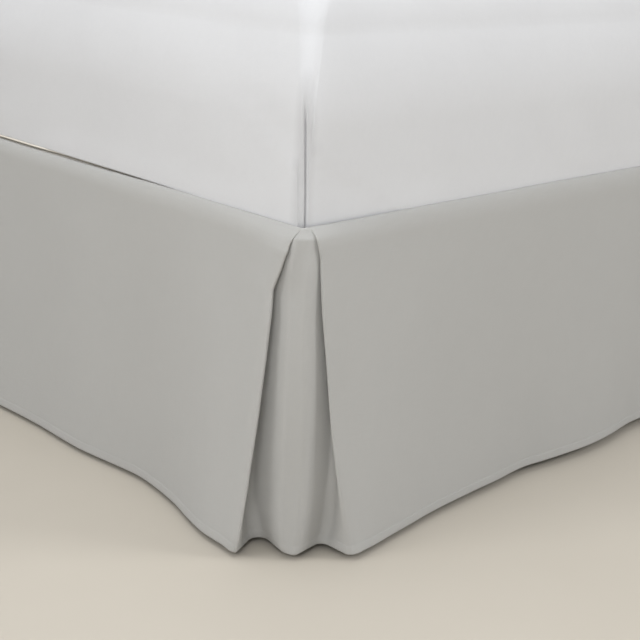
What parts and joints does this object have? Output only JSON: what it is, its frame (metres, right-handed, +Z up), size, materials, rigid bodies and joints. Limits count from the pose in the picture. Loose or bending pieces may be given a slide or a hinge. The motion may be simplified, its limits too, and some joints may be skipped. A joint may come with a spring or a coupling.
{
  "type": "bed skirt on bed",
  "caption": "Tailored grey bed skirt with a platform deck and an open pleat at each foot corner, on the plain bed with base, legs and mattress that it dresses.",
  "frame": {"origin": "centre of the bounding box at its lowest face, on the floor under the bed", "axes": "+X across the bed, +Y from the foot end to the head end, +Z up; the pictured corner is the foot corner at +X and -Y"},
  "size_m": [1.599, 2.0761, 0.6315],
  "materials": {
    "skirt_cloth": "matt plain-weave cotton blend, light warm grey",
    "deck_cloth": "matt off-white lining cloth",
    "mattress_cover": "soft white knitted cover",
    "base_cover": "matt plain covering cloth on the base",
    "leg_wood": "satin mid-brown wood"
  },
  "bodies": {
    "root": {"bed_base": "base_cover", "deck": "deck_cloth", "drop_foot": "skirt_cloth", "drop_left": "skirt_cloth", "drop_right": "skirt_cloth", "leg_foot_left": "leg_wood", "leg_foot_right": "leg_wood", "leg_head_left": "leg_wood", "leg_head_right": "leg_wood", "leg_middle": "leg_wood", "mattress": "mattress_cover"}
  },
  "joints": []
}
